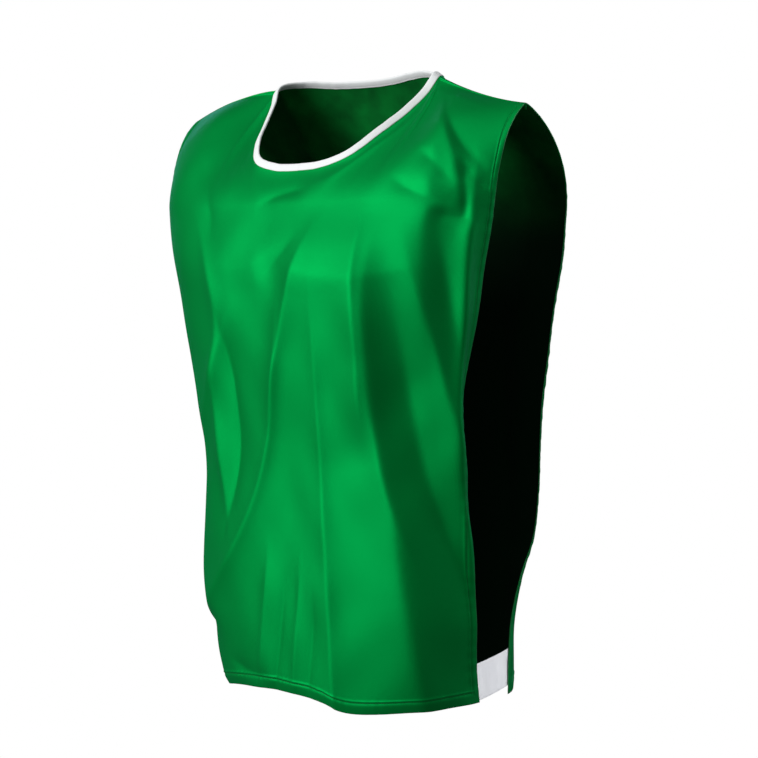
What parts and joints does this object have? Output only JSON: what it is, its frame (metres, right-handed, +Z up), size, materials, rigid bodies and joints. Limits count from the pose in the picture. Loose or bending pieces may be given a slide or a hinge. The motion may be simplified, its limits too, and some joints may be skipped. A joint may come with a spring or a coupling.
{
  "type": "mesh training bib",
  "caption": "Open-sided sports training bib with a front and a back panel, a bound round neck and an elastic band at each side of the hem, filled out as worn",
  "frame": {"origin": "midway between the two neck points at the top of the shoulders, on the shoulder line, where the wearer's shoulders carry the bib", "axes": "+Z up, from the hem to the neck; -Y is the front of the garment; +X is the wearer's left"},
  "size_m": [0.4731, 0.2599, 0.6956],
  "materials": {
    "green_knit": "smooth knit with a soft sheen",
    "white_rib": "matt rib knit",
    "white_elastic": "matt woven elastic"
  },
  "bodies": {
    "root": {"front_panel": "green_knit", "back_panel": "green_knit", "neck_binding": "white_rib", "side_band_left": "white_elastic", "side_band_right": "white_elastic"}
  },
  "joints": []
}
